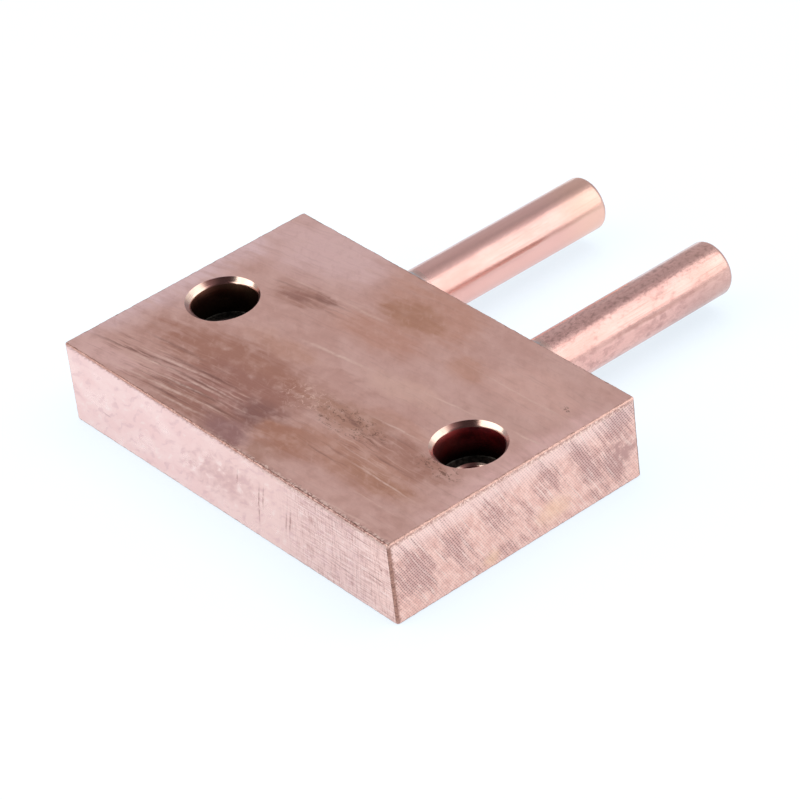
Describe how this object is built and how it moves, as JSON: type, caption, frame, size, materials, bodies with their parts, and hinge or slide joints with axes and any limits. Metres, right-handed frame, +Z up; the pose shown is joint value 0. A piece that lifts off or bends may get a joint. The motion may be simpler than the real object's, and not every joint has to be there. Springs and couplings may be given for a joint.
{
  "type": "liquid cooling cold plate",
  "caption": "Rectangular copper cold plate with counterbored screw holes and parallel water tubes brazed into one long side.",
  "frame": {"origin": "centre of the underside, which is the heat-transfer face", "axes": "+X along the bar, +Y from the front long face towards the tubes' free ends, +Z up towards the counterbores"},
  "size_m": [0.08, 0.0905, 0.015],
  "materials": {
    "machined_copper": "satin machined copper, lightly tarnished",
    "drawn_copper_tube": "bright drawn copper with fine lengthwise scratches",
    "silver_braze": "dull silver braze, as solidified"
  },
  "bodies": {
    "root": {"block_body": "machined_copper", "inlet_tube": "drawn_copper_tube", "outlet_tube": "drawn_copper_tube", "inlet_braze_ring": "silver_braze", "outlet_braze_ring": "silver_braze", "gallery_plug": "machined_copper", "plug_braze_ring": "silver_braze"}
  },
  "joints": []
}
